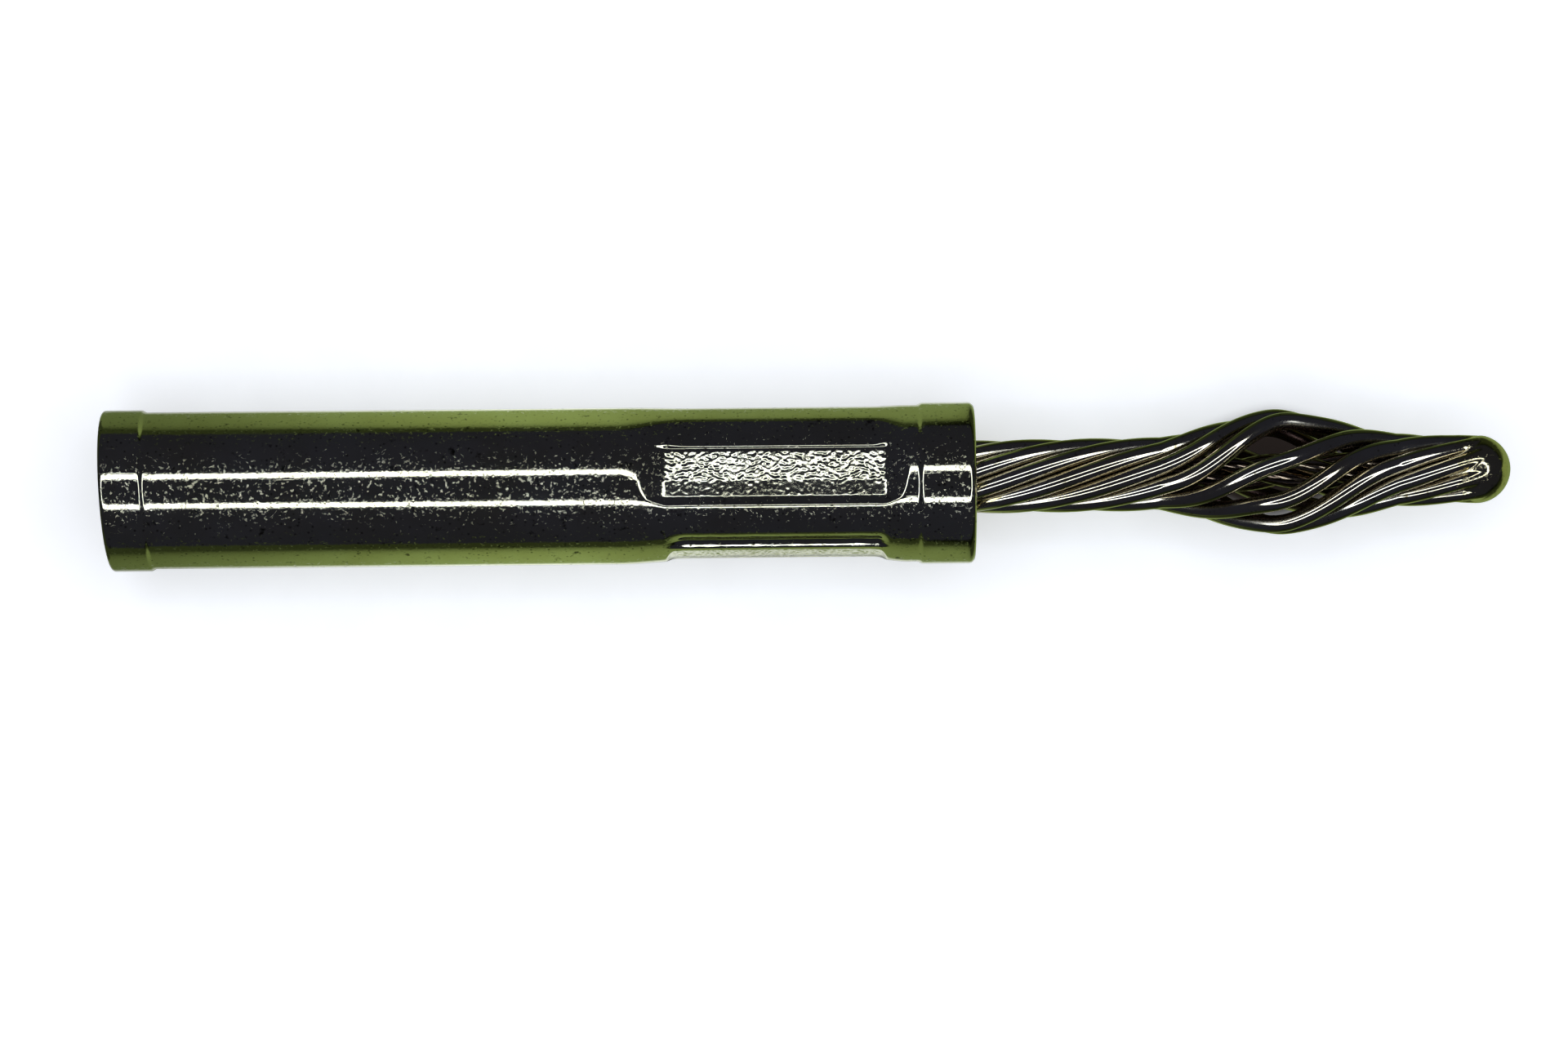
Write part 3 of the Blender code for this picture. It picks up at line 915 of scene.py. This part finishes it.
# %% [markdown]
# ## The twisted strands
# Each outer strand is one drawn spring wire, round all the way, from inside the crimp to inside the fused tip.
# Its points know how far they face away from the outside, for the dull grooves and for the painted shade
# that turns the inner sides brown.

# %% Outer strands
STRAND_SIDES = 36
GROOVE_FROM = (58, 92)
# From these angles off the outside, the wires' inner sides are painted dark as shade.
INNER_SHADE_FROM = (64, 118)
HIDDEN_RUN = 0.1
HIDDEN_STEP = 0.1
STRAND_STEP = 0.013
WELD_SINK = 0.02
WELD_STEP = 0.01
SINK_SHARE = 0.04

bundle_rear = crimp_rear - BUNDLE_TAIL
shown_from = SLEEVE_LENGTH - HIDDEN_RUN
stations = np.concatenate([
    run(bundle_rear, shown_from, HIDDEN_STEP)[:-1],
    run(shown_from, WELD_FACE, STRAND_STEP)[:-1],
    run(WELD_FACE, WELD_FACE + WELD_SINK, WELD_STEP),
])
from_outside = 180 - np.abs(np.linspace(0, 360, STRAND_SIDES, endpoint=False) - 180)
share = bulge_share(stations)
sink = 1 - SINK_SHARE * np.clip((stations - WELD_FACE) / WELD_SINK, 0, 1)
strand_lay = (LAY_RADIUS + (BULGE_LAY_RADIUS - LAY_RADIUS) * share) * drawn_in(stations) * sink
axis_points = pin_axis(stations)
for number in range(STRAND_COUNT):
    centres = axis_points + strand_lay[:, None] * toward(strand_angle(number, stations))
    rings = tube(centres, axis_points, STRAND_D / 2 * drawn_in(stations), STRAND_SIDES)
    strand = skin(f"spring_strand_{number + 1}", rings, strand_gold)
    # Mark how far each point faces into the bundle, for the painted inner shade and the dull grooves.
    for name, angles in (("painted_inner_shade", INNER_SHADE_FROM), ("groove", GROOVE_FROM)):
        mark(strand, name, np.broadcast_to(smoothstep(from_outside, *angles), rings.shape[:2]))
    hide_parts(f"outer_strand_{number + 1}")
    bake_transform(strand)
print(f"{STRAND_COUNT} strands of {len(stations)} rings")

# %% [markdown]
# ## The soft core
# Through the open bulge the camera sees glints of the three soft wires inside, twisted the other way. They are
# duller and redder than the plated strands, because the plating bath hardly reaches them.

# %% Core wires
CORE_SIDES = 16
CORE_STEP = 0.03

core_stations = run(bundle_rear, WELD_FACE - SEAT_GAP, CORE_STEP)
core_axis = pin_axis(core_stations)
core_draw = drawn_in(core_stations)
for number in range(CORE_COUNT):
    angle = 360 * number / CORE_COUNT - 360 * (core_stations - SLEEVE_LENGTH) / CORE_LAY_LENGTH
    centres = core_axis + (CORE_RADIUS * core_draw)[:, None] * toward(angle)
    rings = tube(centres, core_axis, CORE_WIRE_D / 2 * core_draw, CORE_SIDES)
    wire = skin(f"soft_core_wire_{number + 1}", rings, core_metal)
    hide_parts(f"core_strand_{number + 1}")
    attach(wire, "sleeve_and_core")
print(f"{CORE_COUNT} core wires of {len(core_stations)} rings")

# %% [markdown]
# ## The fused tip
# The strand ends are melted together into a dome. The melt creeps back between the wires, so the grooves get
# shallower and end on the dome instead of at a step. The dome's skirt therefore starts as a cone hidden in the
# bundle, rises through the grooves and keeps faint flutes where the wires run in.

# %% Fused tip
TIP_AROUND = 180
SKIRT_START = 0.09
SKIRT_STEP = 0.004
DOME_LAST_ANGLE = 89.2
DOME_RINGS = 52
GROOVE_FLOOR = 0.155
COVER = 0.0012
SMOOTH_FROM = -0.03
SMOOTH_TO = 0.2

tip_radius = TIP_D / 2
dome_start = TIP_END - tip_radius
skirt_from = WELD_FACE - SKIRT_START
smooth_end = WELD_FACE + SMOOTH_TO
tip_x = np.concatenate([
    run(skirt_from, dome_start, SKIRT_STEP)[:-1],
    dome_start + tip_radius * np.sin(np.radians(np.linspace(0, DOME_LAST_ANGLE, DOME_RINGS))),
])
tip_degrees = np.linspace(0, 360, TIP_AROUND, endpoint=False)[None, :]
weld_draw = drawn_in(np.minimum(tip_x, WELD_FACE))[:, None]
wire_r = STRAND_D / 2 * weld_draw
lay_r = LAY_RADIUS * weld_draw
pitch = 360 / STRAND_COUNT
swing = (tip_degrees - strand_angle(0, tip_x)[:, None] + pitch / 2) % pitch - pitch / 2
swing = np.radians(swing)
reach = np.maximum(wire_r**2 - (lay_r * np.sin(swing)) ** 2, 0)
lobes = lay_r * np.cos(swing) + np.sqrt(reach)
filled = GROOVE_FLOOR + (tip_radius - GROOVE_FLOOR) * smoothstep(tip_x, skirt_from, smooth_end)
lobes = np.maximum(lobes, filled[:, None])
melted = smoothstep(tip_x, WELD_FACE + SMOOTH_FROM, smooth_end)[:, None]
cover = COVER * (2 * smoothstep(tip_x, skirt_from, WELD_FACE) - 1)[:, None]
outline = lobes + (tip_radius - lobes) * melted + cover * (1 - melted)
dome = np.sqrt(np.maximum(1 - (np.maximum(tip_x - dome_start, 0) / tip_radius) ** 2, 0))[:, None]
rings = pin_axis(tip_x)[:, None, :] + (outline * dome)[..., None] * toward(tip_degrees)
tip = skin("fused_tip", rings, tip_gold)
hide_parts("tip_weld")
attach(tip, "spring_strands")
print(f"tip skin of {len(tip.data.vertices)} points")
